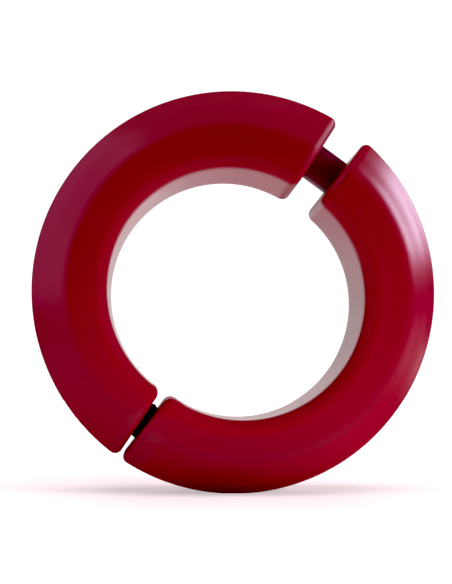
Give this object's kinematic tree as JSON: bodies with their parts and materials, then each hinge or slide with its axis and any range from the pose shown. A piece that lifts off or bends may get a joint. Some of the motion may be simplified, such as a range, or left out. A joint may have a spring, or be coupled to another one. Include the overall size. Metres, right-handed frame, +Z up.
{
  "type": "hinged bangle",
  "caption": "Thick red bangle in two C-shaped halves, joined by a black rubber rod and shut by a round peg that goes into a lined socket.",
  "frame": {"origin": "centre of the outer rim, halfway through the band's width", "axes": "+Z up with the ring standing on its rim, Y along the ring's axis with the front face towards -Y"},
  "size_m": [0.1008, 0.024, 0.1007],
  "materials": {
    "red_resin": "polished cast resin, satin gloss",
    "black_rubber": "matt moulded rubber",
    "steel": "ground dowel"
  },
  "bodies": {
    "lower_ring": {"lower_half": "red_resin", "socket_liner": "black_rubber", "hinge_link": "black_rubber", "link_pin_lower": "steel", "pin_plug_lower": "red_resin"},
    "upper_ring": {"upper_half": "red_resin", "clasp_peg": "red_resin", "link_pin_upper": "steel", "pin_plug_upper": "red_resin"}
  },
  "joints": [
    {"name": "hinge_swing", "type": "hinge", "parent": "lower_ring", "child": "upper_ring", "pos_m": [-0.0274, 0, -0.0399], "axis": [0, -1, 0], "range_deg": [0, 40], "stiffness_Nm_per_rad": 0.25, "springref_deg": -2.86, "deforming": ["hinge_link"]}
  ]
}
